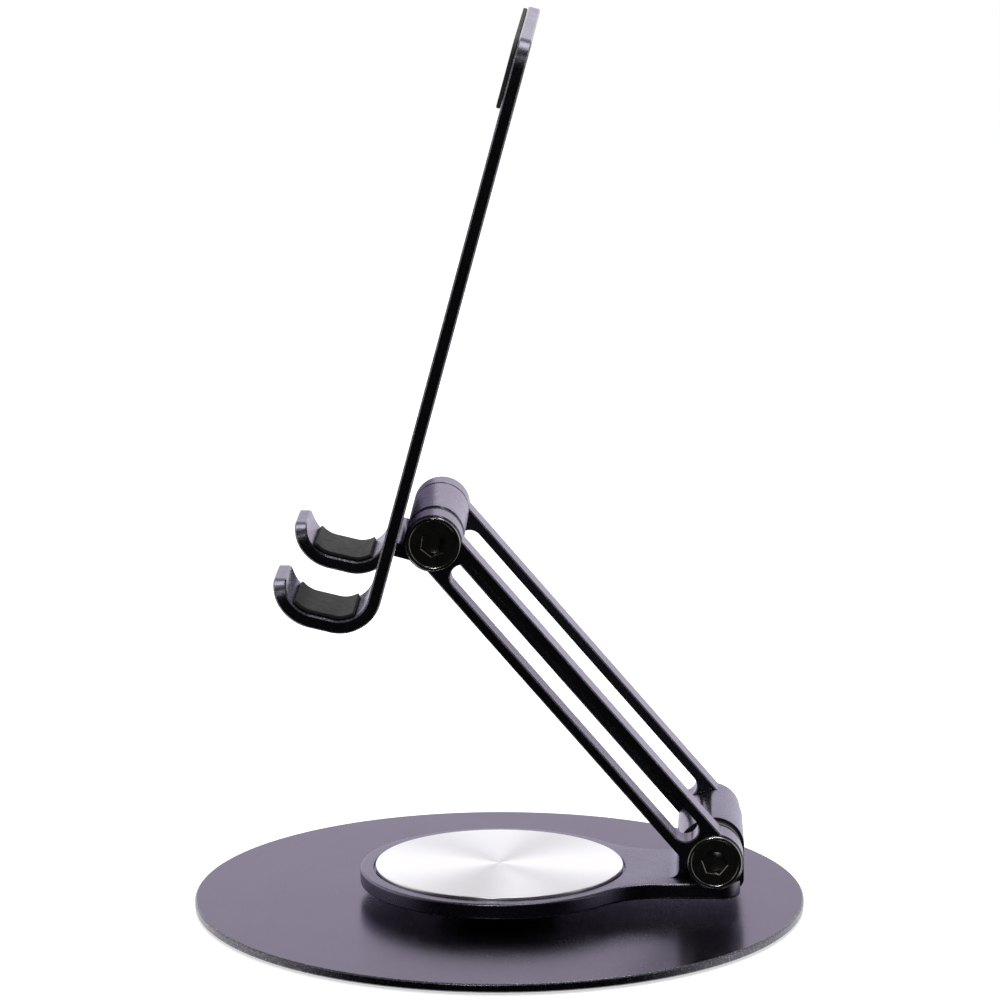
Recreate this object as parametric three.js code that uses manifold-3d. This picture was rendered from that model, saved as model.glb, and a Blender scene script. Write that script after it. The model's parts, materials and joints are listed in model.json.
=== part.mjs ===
// Folding tablet stand: a round weighted base, a hub that swivels on it, a slotted double arm
// and a holder plate with two padded hooks. Millimetres, +Z up.
// The origin is the middle of the base's underside. +X points from the swivel axis to the lower
// hinge, and both hinge axes run along Y. "Near" pieces are on the -Y side, "far" pieces on +Y.
import * as THREE from 'three';
import { mergeVertices } from 'three/addons/utils/BufferGeometryUtils.js';
import Module from 'manifold-3d';

const wasm = await Module();
wasm.setup();

// ---- driving dimensions -------------------------------------------------------------------

const GAP = 0.05; // clearance between faces that touch on the real object

const BASE_R = 70;
const PAD_H = 0.5;
const DISC_Z = PAD_H + GAP;
const DISC_T = 2.05;
const DISC_TOP = DISC_Z + DISC_T;

const HUB_R = 32;
const HUB_Z = 5.5;
const HUB_TOP = 9.1;
const CAP_R = 28.45;
const CAP_TOP = 9.65;
const CAP_T = 1;
const CAP_GAP = 0.5; // groove round the cap
const NECK_HALF_W = 14.6;
const NECK_FILLET = 18;
const NECK_END = 55.2;

const LOWER = { x: 49.15, z: 16.56 }; // lower hinge axis
const ARM_L = 96.26; // hinge axis to hinge axis
const ARM_RISE = 49.1; // degrees above the horizontal at rest
const EYE_R = 6.5;
const BAR_HALF_W = 5.2;
const SLOT_HALF_W = 2.9;
const SLOT_END = 10.1; // slot's end centre, from the hinge axis
const ARM_OUT = 22.5; // outer faces of the arm plates, from the middle plane
const ARM_IN = 15; // inner faces of the arm plates

const SHANK_R = 3.9;
const BORE_R = 4;
const BUSH_R = 4.7;
const HEAD_R = 6.12;
const HEAD_T = 0.8;
const HEX_AF = 5;
const LOWER_HEX_TURN = 0.17; // radians, where the sockets were left when the bolts were set
const UPPER_HEX_TURN = 0.71;
const LOWER_NUT_PROUD = 2.6; // how far each nut's flange stands out of the far arm plate
const UPPER_NUT_PROUD = 1;
const SCREW_CLEAR = 0.08; // radial clearance round the small countersunk screws

const KNUCKLE_FAR = 14.5; // far end of both knuckles
const LOWER_KNUCKLE_NEAR = -9.5;
const LOWER_KNUCKLE_R = 6.9;
const UPPER_KNUCKLE_NEAR = -12;
const WASHER_R = 6.2;

const LEAN = 15.1; // holder plate, degrees back from upright at rest
const PLATE_BACK = -7.83; // plate's back face, from the upper hinge axis
const PLATE_T = 2.87;
const PLATE_FRONT = PLATE_BACK - PLATE_T;
const PLATE_TOP = 115;
const PLATE_HALF_W = 41.8;
const PLATE_CORNER_R = 6.2;
const HOOK_W = 22.5;
const HOOK_BEND_R = 9.4; // outer radius, plate to hook floor
const HOOK_BEND = { v: -17.23, u: -11.65 };
const HOOK_LIP_R = 10.15; // outer radius, hook floor to lip
const HOOK_LIP = { v: -22.05, u: -11.06 };
const LIP_SHORT = 0.24; // radians the lip's end stops short of upright
const LIP_CORNER_R = 5;
const CUTOUT_TOP = -9.5; // plate's lower edge between the hooks
const PAD_T = 0.8;

// ---- finishes -----------------------------------------------------------------------------

const FINISHES = {
  anodised: { color: 0x23222b, roughness: 0.42, metalness: 0.85 },
  powder_coat: { color: 0x26242e, roughness: 0.5, metalness: 0.6 },
  spun_aluminium: { color: 0xc9c7cf, roughness: 0.25, metalness: 1 },
  black_nickel: { color: 0x3b3936, roughness: 0.18, metalness: 1 },
  zinc_steel: { color: 0x8c8f92, roughness: 0.35, metalness: 1 },
  spring_steel: { color: 0x4a4a4d, roughness: 0.4, metalness: 1 },
  acetal: { color: 0x1a1a1b, roughness: 0.6, metalness: 0 },
  silicone: { color: 0x121212, roughness: 0.85, metalness: 0 },
  tape: { color: 0x2b2b2b, roughness: 0.9, metalness: 0 },
};

// ---- solids -------------------------------------------------------------------------------

// Turns a closed three.js geometry into a manifold solid whose faces point out.
function solid(geometry) {
  const bare = geometry.clone();
  bare.deleteAttribute('normal');
  bare.deleteAttribute('uv');
  const merged = mergeVertices(bare, 1e-4);
  const position = merged.attributes.position.array;
  const index = merged.index.array;
  const kept = [];
  let volume = 0;
  const a = new THREE.Vector3();
  const b = new THREE.Vector3();
  const c = new THREE.Vector3();
  for (let i = 0; i < index.length; i += 3) {
    const [p, q, r] = [index[i], index[i + 1], index[i + 2]];
    if (p === q || q === r || r === p) continue;
    kept.push(p, q, r);
    a.fromArray(position, 3 * p);
    b.fromArray(position, 3 * q);
    c.fromArray(position, 3 * r);
    volume += a.dot(b.cross(c));
  }
  if (volume < 0) kept.reverse();
  const mesh = new wasm.Mesh({
    numProp: 3,
    vertProperties: new Float32Array(position),
    triVerts: new Uint32Array(kept),
  });
  return new wasm.Manifold(mesh);
}

function toGeometry(body) {
  const mesh = body.getMesh();
  const geometry = new THREE.BufferGeometry();
  geometry.setAttribute('position', new THREE.BufferAttribute(mesh.vertProperties, 3));
  geometry.setIndex(new THREE.BufferAttribute(mesh.triVerts, 1));
  geometry.computeVertexNormals();
  return geometry;
}

function piece(name, body, finish) {
  const mesh = new THREE.Mesh(toGeometry(body), new THREE.MeshStandardMaterial(FINISHES[finish]));
  mesh.name = name;
  return mesh;
}

// A closed outline drawn in X and Z, extruded along Y from near to far.
function alongY(shape, near, far, segments = 14) {
  const geometry = new THREE.ExtrudeGeometry(shape, {
    depth: far - near,
    curveSegments: segments,
    bevelEnabled: false,
  });
  geometry.rotateX(Math.PI / 2);
  geometry.translate(0, far, 0);
  return solid(geometry);
}

// As alongY, with a small chamfer round both faces.
function chamferedAlongY(shape, near, far, chamfer, segments = 14) {
  const geometry = new THREE.ExtrudeGeometry(shape, {
    depth: far - near - 2 * chamfer,
    curveSegments: segments,
    bevelThickness: chamfer,
    bevelSize: chamfer,
    bevelOffset: -chamfer,
    bevelSegments: 1,
  });
  geometry.rotateX(Math.PI / 2);
  geometry.translate(0, far - chamfer, 0);
  return solid(geometry);
}

// A closed outline drawn in Y and Z, extruded along X from front to back.
function alongX(shape, front, back, segments = 8) {
  const geometry = new THREE.ExtrudeGeometry(shape, {
    depth: back - front,
    curveSegments: segments,
    bevelEnabled: false,
  });
  geometry.rotateX(Math.PI / 2);
  geometry.rotateZ(Math.PI / 2);
  geometry.translate(front, 0, 0);
  return solid(geometry);
}

// A turned piece on the Y axis; the profile's points are [radius, y].
function turnedY(profile, segments = 28) {
  const points = profile.map(([r, y]) => new THREE.Vector2(r, y));
  return solid(new THREE.LatheGeometry(points, segments));
}

// A turned piece on the Z axis; the profile's points are [radius, z].
function turnedZ(profile, segments = 36) {
  const points = profile.map(([r, z]) => new THREE.Vector2(r, z));
  const geometry = new THREE.LatheGeometry(points, segments);
  geometry.rotateX(Math.PI / 2);
  return solid(geometry);
}

// Profile of a plain ring, its edges chamfered by c.
function ring(inner, outer, low, high, c = 0) {
  if (c === 0) return [[inner, low], [outer, low], [outer, high], [inner, high], [inner, low]];
  return [
    [inner, low], [outer - c, low], [outer, low + c],
    [outer, high - c], [outer - c, high], [inner, high], [inner, low],
  ];
}

// Profile of a plain round bar.
function bar(radius, low, high) {
  return [[0, low], [radius, low], [radius, high], [0, high]];
}

// ---- base ---------------------------------------------------------------------------------

const FLANGE_SCREW_CIRCLE = 10;
const FLANGE_SCREW_R = 1.25;
const FLANGE_SCREW_HEAD_R = 2.4;
const FLANGE_SCREWS = 3;
const FLANGE_R = 14;
const FLANGE_TOP = 4.4;
const JOURNAL_R = 5;
const JOURNAL_BORE_R = 2.5;
const WEB_TOP = 6.9; // floor of the hub's pocket

function flangeScrewPlaces() {
  return Array.from({ length: FLANGE_SCREWS }, (_, i) => {
    const turn = (i / FLANGE_SCREWS) * 2 * Math.PI;
    return [FLANGE_SCREW_CIRCLE * Math.cos(turn), FLANGE_SCREW_CIRCLE * Math.sin(turn)];
  });
}

// Countersunk screw with its flat head down, on the Z axis.
function countersunk(shankR, headR, headLow, tip) {
  const cone = headR - shankR;
  return [[0, headLow], [headR, headLow], [shankR, headLow + cone], [shankR, tip], [0, tip]];
}

// The hole for such a screw, a little wider, and open below the head.
function countersink(shankR, headR, headLow, tip) {
  const cone = headR - shankR;
  const wide = headR + SCREW_CLEAR;
  const narrow = shankR + SCREW_CLEAR;
  const seat = headLow + 0.1;
  return [
    [0, headLow - 1], [wide, headLow - 1], [wide, seat],
    [narrow, seat + cone], [narrow, tip], [0, tip],
  ];
}

function baseDisc() {
  const chamfer = 0.35;
  const centreHole = 3;
  let disc = turnedZ([
    [centreHole, DISC_Z], [BASE_R - chamfer, DISC_Z], [BASE_R, DISC_Z + chamfer],
    [BASE_R, DISC_TOP - chamfer], [BASE_R - chamfer, DISC_TOP],
    [centreHole, DISC_TOP], [centreHole, DISC_Z],
  ], 96);
  for (const [x, y] of flangeScrewPlaces()) {
    const profile = countersink(FLANGE_SCREW_R, FLANGE_SCREW_HEAD_R, DISC_Z + GAP, DISC_TOP + 1);
    disc = disc.subtract(turnedZ(profile, 12).translate([x, y, 0]));
  }
  return piece('base_disc', disc, 'powder_coat');
}

function basePad() {
  return piece('base_pad', turnedZ(ring(17, 66, 0, PAD_H), 64), 'silicone');
}

function pivotFlange() {
  const low = DISC_TOP + GAP;
  let flange = turnedZ([
    [JOURNAL_BORE_R, low], [FLANGE_R, low], [FLANGE_R, FLANGE_TOP],
    [JOURNAL_R, FLANGE_TOP], [JOURNAL_R, 8.3], [JOURNAL_BORE_R, 8.3], [JOURNAL_BORE_R, low],
  ]);
  for (const [x, y] of flangeScrewPlaces()) {
    const hole = turnedZ(bar(FLANGE_SCREW_R + SCREW_CLEAR, low - 1, FLANGE_TOP + 1), 12);
    flange = flange.subtract(hole.translate([x, y, 0]));
  }
  return piece('pivot_flange', flange, 'zinc_steel');
}

function flangeScrews() {
  return flangeScrewPlaces().map(([x, y], i) => {
    const low = DISC_Z + GAP;
    const screw = turnedZ(countersunk(FLANGE_SCREW_R, FLANGE_SCREW_HEAD_R, low, FLANGE_TOP - 0.1), 12);
    const socket = hexPrism(1.5, 0.8).rotate([90, 0, 0]).translate([0, 0, low]);
    return piece(`flange_screw_${i + 1}`, screw.subtract(socket).translate([x, y, 0]), 'zinc_steel');
  });
}

// Hexagonal prism on the Y axis, 1.2 mm to either side of the origin.
function hexPrism(acrossFlats, half = 1.2, turn = 0) {
  const corner = acrossFlats / Math.sqrt(3);
  const geometry = new THREE.CylinderGeometry(corner, corner, 2 * half, 6);
  geometry.rotateY(turn);
  return solid(geometry);
}

function pivotBearing() {
  return [
    piece('lower_thrust_washer', turnedZ(ring(5.3, 13.4, FLANGE_TOP + GAP, HUB_Z - GAP)), 'acetal'),
    piece('upper_thrust_washer', turnedZ(ring(5.3, 12, WEB_TOP + GAP, 7.35)), 'acetal'),
    piece('wave_washer', turnedZ(ring(5.3, 9.6, 7.4, 7.75)), 'spring_steel'),
    piece('pivot_nut', turnedZ(ring(5.08, 10.5, 7.8, 8.3)), 'zinc_steel'),
  ];
}

// ---- hub ----------------------------------------------------------------------------------

// Plan of the hub plate: a disc that flows into a parallel neck through two hollow fillets.
function hubPlan() {
  const reach = HUB_R + NECK_FILLET;
  const filletY = NECK_HALF_W + NECK_FILLET;
  const filletX = Math.sqrt(reach * reach - filletY * filletY);
  const turn = Math.atan2(filletY, filletX);
  const corner = 5;
  const shape = new THREE.Shape();
  const quarters = 4;
  const sweep = (2 * Math.PI - 2 * turn) / quarters;
  for (let i = 0; i < quarters; i += 1) {
    shape.absarc(0, 0, HUB_R, turn + i * sweep, turn + (i + 1) * sweep, false);
  }
  shape.absarc(filletX, -filletY, NECK_FILLET, Math.PI - turn, Math.PI / 2, true);
  shape.absarc(NECK_END - corner, -NECK_HALF_W + corner, corner, -Math.PI / 2, 0, false);
  shape.absarc(NECK_END - corner, NECK_HALF_W - corner, corner, 0, Math.PI / 2, false);
  shape.absarc(filletX, filletY, NECK_FILLET, -Math.PI / 2, Math.PI + turn, true);
  return shape;
}

// Side view of the knuckle, standing on the neck: round over the hinge, hollow at its foot.
function lowerKnuckleShape() {
  const { x, z } = LOWER;
  const leftR = 6.5;
  const left = x - 8;
  const foot = 2.2;
  const low = HUB_Z + 0.6;
  const right = x + LOWER_KNUCKLE_R;
  const heel = 3;
  const shape = new THREE.Shape();
  shape.moveTo(left - foot, low);
  shape.lineTo(right - heel, low);
  shape.absarc(right - heel, low + heel, heel, -Math.PI / 2, 0, false);
  shape.absarc(x, z, LOWER_KNUCKLE_R, 0, Math.PI / 2 + 0.1, false);
  shape.absarc(left + leftR, z - 0.35, leftR, Math.PI / 2 + 0.1, Math.PI, false);
  shape.absarc(left - foot, HUB_TOP + foot, foot, 0, -Math.PI / 2, true);
  return shape;
}

function hubBracket() {
  const edge = 0.55;
  const plate = new THREE.ExtrudeGeometry(hubPlan(), {
    depth: HUB_TOP - HUB_Z - 2 * edge,
    curveSegments: 8,
    bevelThickness: edge,
    bevelSize: edge,
    bevelOffset: -edge,
    bevelSegments: 2,
  });
  plate.translate(0, 0, HUB_Z + edge);
  const knuckle = chamferedAlongY(lowerKnuckleShape(), LOWER_KNUCKLE_NEAR, KNUCKLE_FAR, 0.3, 7);
  const recess = turnedZ(bar(CAP_R + CAP_GAP, CAP_TOP - CAP_T - 0.25, HUB_TOP + 2), 64);
  const pocket = turnedZ(bar(13, WEB_TOP, HUB_TOP + 2));
  const bore = turnedZ(bar(JOURNAL_R + 0.1, 0, HUB_TOP + 2));
  const hinge = turnedY(bar(BUSH_R + GAP, -40, 40)).translate([LOWER.x, 0, LOWER.z]);
  const bracket = solid(plate).add(knuckle).subtract(recess).subtract(pocket).subtract(bore).subtract(hinge);
  return piece('hub_bracket', bracket, 'anodised');
}

function hubCap() {
  const low = CAP_TOP - CAP_T;
  const edge = 0.25;
  const cap = turnedZ([
    [0, low], [CAP_R, low], [CAP_R, CAP_TOP - edge], [CAP_R - edge, CAP_TOP], [0, CAP_TOP],
  ], 64);
  return [
    piece('spun_cap', cap, 'spun_aluminium'),
    piece('cap_tape', turnedZ(ring(14, 27, low - 0.2, low - GAP)), 'tape'),
  ];
}

// ---- hinge hardware, on the Y axis --------------------------------------------------------

// Bolt with a thin dished head, its hex socket running on into the shank.
function hingeBolt(name, hexTurn) {
  const face = -ARM_OUT - GAP - HEAD_T;
  const rim = 0.8;
  const dish = 0.35;
  const edge = 0.45;
  const body = turnedY([
    [0, face + dish], [HEAD_R - rim - dish, face + dish], [HEAD_R - rim, face], [HEAD_R - edge, face],
    [HEAD_R, face + edge], [HEAD_R, face + HEAD_T], [SHANK_R, face + HEAD_T],
    [SHANK_R, 19], [SHANK_R - 0.8, 19], [SHANK_R - 0.8, 22.6], [0, 22.6],
  ]);
  const socket = hexPrism(HEX_AF, 3, hexTurn).translate([0, face + dish, 0]);
  const drill = turnedY([[0, face + 2], [2.2, face + 3.2], [0, face + 4.6]], 16);
  return piece(name, body.subtract(socket).subtract(drill), 'black_nickel');
}

// Round nut on the far side: a thin flange with a threaded sleeve inside the arm plate.
function hingeNut(name, proud) {
  const inner = ARM_OUT + GAP;
  const outer = ARM_OUT + proud;
  const thread = SHANK_R - 0.75;
  const edge = 0.35;
  const body = turnedY([
    [thread, 19.1], [SHANK_R, 19.1], [SHANK_R, inner], [5.95, inner], [5.95, outer - edge],
    [5.95 - edge, outer], [thread, outer], [thread, 19.1],
  ]);
  return piece(name, body, 'black_nickel');
}

// Dished spring washer between low and high.
function discSpring(name, low, high, up) {
  const t = 0.55;
  const rise = high - low - t;
  const profile = up
    ? [[4.1, low + rise], [WASHER_R, low], [WASHER_R, low + t], [4.1, high], [4.1, low + rise]]
    : [[4.1, low], [WASHER_R, low + rise], [WASHER_R, high], [4.1, low + t], [4.1, low]];
  return piece(name, turnedY(profile), 'spring_steel');
}

function flatWasher(name, low, high, finish) {
  return piece(name, turnedY(ring(4.1, WASHER_R, low, high)), finish);
}

// Everything that presses the knuckle between the arm plates, from near to far.
function washerStack(prefix, knuckleNear, springs) {
  const start = -ARM_IN + GAP;
  const pressure = 1.1;
  const springStart = start + pressure + GAP;
  const friction = 1.0;
  const frictionHigh = knuckleNear - GAP;
  const frictionLow = frictionHigh - friction;
  const room = frictionLow - GAP - springStart;
  const pitch = room / springs;
  const pieces = [flatWasher(`${prefix}_pressure_washer`, start, start + pressure, 'zinc_steel')];
  for (let i = 0; i < springs; i += 1) {
    const low = springStart + i * pitch;
    pieces.push(discSpring(`${prefix}_disc_spring_${i + 1}`, low, low + pitch - GAP, i % 2 === 0));
  }
  pieces.push(flatWasher(`${prefix}_friction_washer`, frictionLow, frictionHigh, 'acetal'));
  pieces.push(flatWasher(`${prefix}_far_washer`, KNUCKLE_FAR + GAP, ARM_IN - GAP, 'acetal'));
  return pieces;
}

function bush(name, near, far) {
  return piece(name, turnedY(ring(BORE_R, BUSH_R, near + 0.2, far - 0.2)), 'acetal');
}

// ---- arm ----------------------------------------------------------------------------------

// Side view of one arm plate, standing up from the lower hinge: an eye at each end, one slot.
function armShape() {
  const turn = Math.acos(BAR_HALF_W / EYE_R);
  const shape = new THREE.Shape();
  shape.absarc(0, 0, EYE_R, Math.PI - turn, 2 * Math.PI + turn, false);
  shape.absarc(0, ARM_L, EYE_R, -turn, Math.PI + turn, false);
  const slot = new THREE.Path();
  slot.absarc(0, SLOT_END, SLOT_HALF_W, Math.PI, 2 * Math.PI, false);
  slot.absarc(0, ARM_L - SLOT_END, SLOT_HALF_W, 0, Math.PI, false);
  shape.holes.push(slot);
  for (const z of [0, ARM_L]) {
    const hole = new THREE.Path();
    hole.absarc(0, z, BORE_R, 0, 2 * Math.PI, false);
    shape.holes.push(hole);
  }
  return shape;
}

function armPlates() {
  const chamfer = 0.25;
  return [
    piece('near_arm_plate', chamferedAlongY(armShape(), -ARM_OUT, -ARM_IN, chamfer, 9), 'anodised'),
    piece('far_arm_plate', chamferedAlongY(armShape(), ARM_IN, ARM_OUT, chamfer, 9), 'anodised'),
  ];
}

// ---- holder, drawn with the plate upright and the upper hinge at the origin -----------------
// Here x is the distance behind the hinge axis (the plate is in front, so negative) and z is
// the height above it.

const TONGUE_LOW = -6.85;
const TONGUE_HIGH = -3.7;
const FOOT_HALF_W = 14.4; // wider end of the tongue, against the plate
const FOOT_BACK = -4;
const FOOT_SLOPE = { v: -6.6, u: -5.6 }; // where its sloped back starts and ends
const PLATE_SCREWS = [-9, 1.25, 11.5];
const PLATE_SCREW_R = 1;
const PLATE_SCREW_HEAD_R = 1.9;

// Side view of the plate and a hook: plate, bend, floor and upturned lip, at an even thickness.
function holderShape() {
  const bendIn = HOOK_BEND_R - PLATE_T;
  const lipIn = HOOK_LIP_R - PLATE_T;
  const lipEnd = Math.PI - LIP_SHORT;
  const shape = new THREE.Shape();
  shape.moveTo(PLATE_BACK, PLATE_TOP);
  shape.lineTo(PLATE_FRONT, PLATE_TOP);
  shape.absarc(HOOK_BEND.v, HOOK_BEND.u, bendIn, 0, -Math.PI / 2, true);
  shape.absarc(HOOK_LIP.v, HOOK_LIP.u, lipIn, -Math.PI / 2, -lipEnd, true);
  shape.absarc(HOOK_LIP.v, HOOK_LIP.u, HOOK_LIP_R, -lipEnd, -Math.PI / 2, false);
  shape.absarc(HOOK_BEND.v, HOOK_BEND.u, HOOK_BEND_R, -Math.PI / 2, 0, false);
  return shape;
}

// What is cut away to round the two corners at the top of an upright blank of this width.
function cornerWaste(near, far, top, radius, front, back) {
  const frame = new THREE.Shape();
  frame.moveTo(near - 5, top - radius);
  frame.lineTo(near, top - radius);
  frame.absarc(near + radius, top - radius, radius, Math.PI, Math.PI / 2, true);
  frame.absarc(far - radius, top - radius, radius, Math.PI / 2, 0, true);
  frame.lineTo(far + 5, top - radius);
  frame.lineTo(far + 5, top + 5);
  frame.lineTo(near - 5, top + 5);
  return alongX(frame, front, back);
}

function screwHole(y) {
  const shank = turnedZ(countersink(PLATE_SCREW_R, PLATE_SCREW_HEAD_R, GAP, 8), 12);
  return shank.rotate([0, 90, 0]).translate([PLATE_FRONT, y, (TONGUE_LOW + TONGUE_HIGH) / 2]);
}

function holderPlate() {
  let plate = chamferedAlongY(holderShape(), -PLATE_HALF_W, PLATE_HALF_W, 0.3, 8);
  plate = plate.subtract(cornerWaste(-PLATE_HALF_W, PLATE_HALF_W, PLATE_TOP, PLATE_CORNER_R, -13, -5));
  const innerY = PLATE_HALF_W - HOOK_W;
  const cornerR = 4;
  const cutout = new THREE.Shape();
  cutout.moveTo(-innerY, -40);
  cutout.lineTo(innerY, -40);
  cutout.absarc(innerY - cornerR, CUTOUT_TOP - cornerR, cornerR, 0, Math.PI / 2, false);
  cutout.absarc(-innerY + cornerR, CUTOUT_TOP - cornerR, cornerR, Math.PI / 2, Math.PI, false);
  plate = plate.subtract(alongX(cutout, -45, 0));
  const lipTop = HOOK_LIP.u - (HOOK_LIP_R - PLATE_T) * Math.sin(LIP_SHORT);
  for (const side of [-1, 1]) {
    const near = side < 0 ? -PLATE_HALF_W : innerY;
    plate = plate.subtract(cornerWaste(near, near + HOOK_W, lipTop, LIP_CORNER_R, -45, -24));
  }
  for (const y of PLATE_SCREWS) plate = plate.subtract(screwHole(y));
  return piece('holder_plate', plate, 'anodised');
}

// Side view of the tongue; the foot's back slopes so that it clears the washers.
function tongueShape(back, slopeStart, slopeEnd) {
  const root = PLATE_BACK + GAP;
  const shape = new THREE.Shape();
  shape.moveTo(root, TONGUE_LOW);
  shape.lineTo(back, TONGUE_LOW);
  shape.lineTo(back, slopeEnd);
  shape.lineTo(slopeStart, TONGUE_HIGH);
  shape.lineTo(root, TONGUE_HIGH);
  return shape;
}

// Barrel on the hinge axis with a flat tongue under it that widens where it meets the plate.
function tiltKnuckle() {
  const barrel = new THREE.Shape();
  barrel.absarc(0, 0, EYE_R, 0, 2 * Math.PI, false);
  let knuckle = chamferedAlongY(barrel, UPPER_KNUCKLE_NEAR, KNUCKLE_FAR, 0.35, 16);
  const neckShape = tongueShape(0, -1, TONGUE_HIGH);
  const footShape = tongueShape(FOOT_BACK, FOOT_SLOPE.v, FOOT_SLOPE.u);
  const neck = alongY(neckShape, UPPER_KNUCKLE_NEAR + 0.35, KNUCKLE_FAR - 0.35);
  const foot = alongY(footShape, -FOOT_HALF_W, FOOT_HALF_W);
  knuckle = knuckle.add(neck).add(foot);
  knuckle = knuckle.subtract(turnedY(bar(BUSH_R + GAP, -40, 40)));
  for (const y of PLATE_SCREWS) {
    const hole = turnedZ(bar(PLATE_SCREW_R + SCREW_CLEAR, 0, 7.9), 12).rotate([0, 90, 0]);
    knuckle = knuckle.subtract(hole.translate([PLATE_FRONT, y, (TONGUE_LOW + TONGUE_HIGH) / 2]));
  }
  return piece('tilt_knuckle', knuckle, 'anodised');
}

function plateScrews() {
  return PLATE_SCREWS.map((y, i) => {
    const screw = turnedZ(countersunk(PLATE_SCREW_R, PLATE_SCREW_HEAD_R, GAP, 7.5), 12);
    const socket = hexPrism(1.3, 0.8).rotate([90, 0, 0]);
    const placed = screw.subtract(socket).rotate([0, 90, 0]);
    const z = (TONGUE_LOW + TONGUE_HIGH) / 2;
    return piece(`plate_screw_${i + 1}`, placed.translate([PLATE_FRONT, y, z]), 'black_nickel');
  });
}

// Curved pad on the inside of a hook, following the bend, the floor and the lip.
function hookPad(name, near) {
  const inset = 1.4;
  const lift = 0.1;
  const bendOut = HOOK_BEND_R - PLATE_T - lift;
  const lipOut = HOOK_LIP_R - PLATE_T - lift;
  const bendIn = bendOut - PAD_T;
  const lipIn = lipOut - PAD_T;
  const bendTurn = 0.8;
  const lipTurn = 0.63;
  const down = -Math.PI / 2;
  const shape = new THREE.Shape();
  shape.absarc(HOOK_BEND.v, HOOK_BEND.u, bendOut, down + bendTurn, down, true);
  shape.absarc(HOOK_LIP.v, HOOK_LIP.u, lipOut, down, down - lipTurn, true);
  shape.absarc(HOOK_LIP.v, HOOK_LIP.u, lipIn, down - lipTurn, down, false);
  shape.absarc(HOOK_BEND.v, HOOK_BEND.u, bendIn, down, down + bendTurn, false);
  return piece(name, alongY(shape, near + inset, near + HOOK_W - inset, 8), 'silicone');
}

// Thin pad across the top of the plate's front face.
function topPad() {
  const inset = 0.6;
  const low = 99.3;
  const halfW = PLATE_HALF_W - inset;
  const top = PLATE_TOP - inset;
  const topR = PLATE_CORNER_R - inset;
  const lowR = 2;
  const shape = new THREE.Shape();
  shape.absarc(halfW - topR, top - topR, topR, 0, Math.PI / 2, false);
  shape.absarc(-halfW + topR, top - topR, topR, Math.PI / 2, Math.PI, false);
  shape.absarc(-halfW + lowR, low + lowR, lowR, Math.PI, 1.5 * Math.PI, false);
  shape.absarc(halfW - lowR, low + lowR, lowR, 1.5 * Math.PI, 2 * Math.PI, false);
  const thickness = 0.95;
  return piece('top_pad', alongX(shape, PLATE_FRONT - GAP - thickness, PLATE_FRONT - GAP), 'silicone');
}

// ---- assembly -----------------------------------------------------------------------------

const stand = new THREE.Group();

stand.add(baseDisc(), basePad(), pivotFlange(), ...flangeScrews(), ...pivotBearing());
stand.add(hubBracket(), ...hubCap());

const lowerBush = bush('lower_bush', LOWER_KNUCKLE_NEAR, KNUCKLE_FAR);
lowerBush.position.set(LOWER.x, 0, LOWER.z);
stand.add(lowerBush);

const arm = new THREE.Group();
arm.position.set(LOWER.x, 0, LOWER.z);
arm.rotation.y = THREE.MathUtils.degToRad(ARM_RISE - 90);
arm.add(...armPlates());
arm.add(hingeBolt('lower_hinge_bolt', LOWER_HEX_TURN), hingeNut('lower_hinge_nut', LOWER_NUT_PROUD));
arm.add(...washerStack('lower', LOWER_KNUCKLE_NEAR, 3));
stand.add(arm);

const upperHinge = new THREE.Group();
upperHinge.position.set(0, 0, ARM_L);
upperHinge.add(hingeBolt('upper_hinge_bolt', UPPER_HEX_TURN), hingeNut('upper_hinge_nut', UPPER_NUT_PROUD));
upperHinge.add(...washerStack('upper', UPPER_KNUCKLE_NEAR, 1));
arm.add(upperHinge);

const holder = new THREE.Group();
const rise = THREE.MathUtils.degToRad(ARM_RISE);
holder.position.set(LOWER.x - ARM_L * Math.cos(rise), 0, LOWER.z + ARM_L * Math.sin(rise));
holder.rotation.y = THREE.MathUtils.degToRad(LEAN);
holder.add(holderPlate(), tiltKnuckle(), ...plateScrews(), topPad());
holder.add(bush('upper_bush', UPPER_KNUCKLE_NEAR, KNUCKLE_FAR));
holder.add(hookPad('near_hook_pad', -PLATE_HALF_W), hookPad('far_hook_pad', PLATE_HALF_W - HOOK_W));
stand.add(holder);

export default stand;
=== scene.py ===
import json
import math

import bmesh
import bpy
from mathutils import Matrix, Vector
from mathutils.geometry import tessellate_polygon


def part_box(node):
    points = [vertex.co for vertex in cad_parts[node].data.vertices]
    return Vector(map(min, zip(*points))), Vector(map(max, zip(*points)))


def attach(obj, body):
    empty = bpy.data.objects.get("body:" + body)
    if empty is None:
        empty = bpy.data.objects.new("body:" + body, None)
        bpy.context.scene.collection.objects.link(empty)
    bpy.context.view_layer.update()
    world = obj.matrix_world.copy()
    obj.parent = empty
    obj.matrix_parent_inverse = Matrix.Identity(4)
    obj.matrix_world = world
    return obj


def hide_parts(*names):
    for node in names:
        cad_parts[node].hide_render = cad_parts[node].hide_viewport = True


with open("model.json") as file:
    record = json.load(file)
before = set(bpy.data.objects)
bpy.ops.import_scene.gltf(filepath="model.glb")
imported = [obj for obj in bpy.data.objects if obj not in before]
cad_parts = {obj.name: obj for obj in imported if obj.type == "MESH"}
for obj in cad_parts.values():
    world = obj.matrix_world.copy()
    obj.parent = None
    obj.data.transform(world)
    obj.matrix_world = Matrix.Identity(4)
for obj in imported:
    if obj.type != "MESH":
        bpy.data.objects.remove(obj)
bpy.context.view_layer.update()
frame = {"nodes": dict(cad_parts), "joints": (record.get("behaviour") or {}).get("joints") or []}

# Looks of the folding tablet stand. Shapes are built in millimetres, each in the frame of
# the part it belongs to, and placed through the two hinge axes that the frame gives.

MM = 0.001
PI = math.pi
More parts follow.
